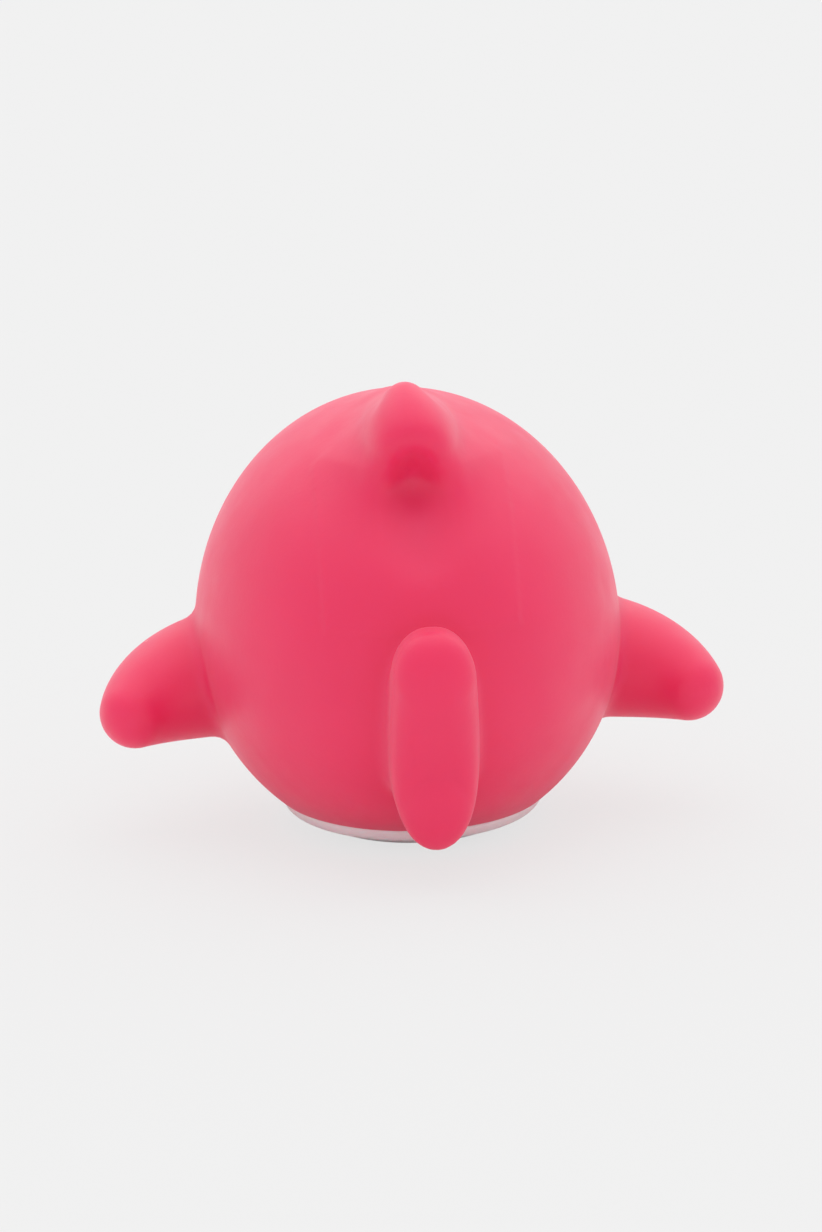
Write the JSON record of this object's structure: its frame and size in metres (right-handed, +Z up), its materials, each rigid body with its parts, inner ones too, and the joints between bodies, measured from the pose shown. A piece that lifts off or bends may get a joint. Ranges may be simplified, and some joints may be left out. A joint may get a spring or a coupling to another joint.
{
  "type": "squeaky bath toy",
  "caption": "Hollow soft-vinyl shark bath toy with rounded fins, a white belly pan and a reed squeaker in its flat base; squeezing it blows the reed.",
  "frame": {"origin": "on the floor, under the middle of the toy's box", "axes": "+Z up, the nose points to -Y and the tail to +Y, +X is the toy's left side"},
  "size_m": [0.0974, 0.0999, 0.0726],
  "materials": {
    "pink_vinyl": "satin",
    "white_vinyl": "satin",
    "eye_black": "gloss",
    "squeaker_white": "matte",
    "tube_grey": "matte",
    "reed_film": "gloss"
  },
  "bodies": {
    "base": {"belly_skin": "white_vinyl", "squeaker_cup": "squeaker_white", "squeaker_lid": "squeaker_white", "reed_tube": "tube_grey", "reed_bed": "tube_grey", "reed_wedge": "tube_grey"},
    "back": {"back_skin": "pink_vinyl", "left_eye": "eye_black", "right_eye": "eye_black"},
    "reed": {"reed": "reed_film"}
  },
  "joints": [
    {"name": "squeeze", "type": "slide", "parent": "base", "child": "back", "axis": [0, 0, -1], "range_m": [0, 0.01], "stiffness_N_per_m": 900, "springref_m": -0.0015, "deforming": ["back_skin"]},
    {"name": "reed_flex", "type": "hinge", "parent": "base", "child": "reed", "pos_m": [0, -0.003, 0.0028], "axis": [1, 0, 0], "range_deg": [-3, 3], "stiffness_Nm_per_rad": 0.00001}
  ]
}
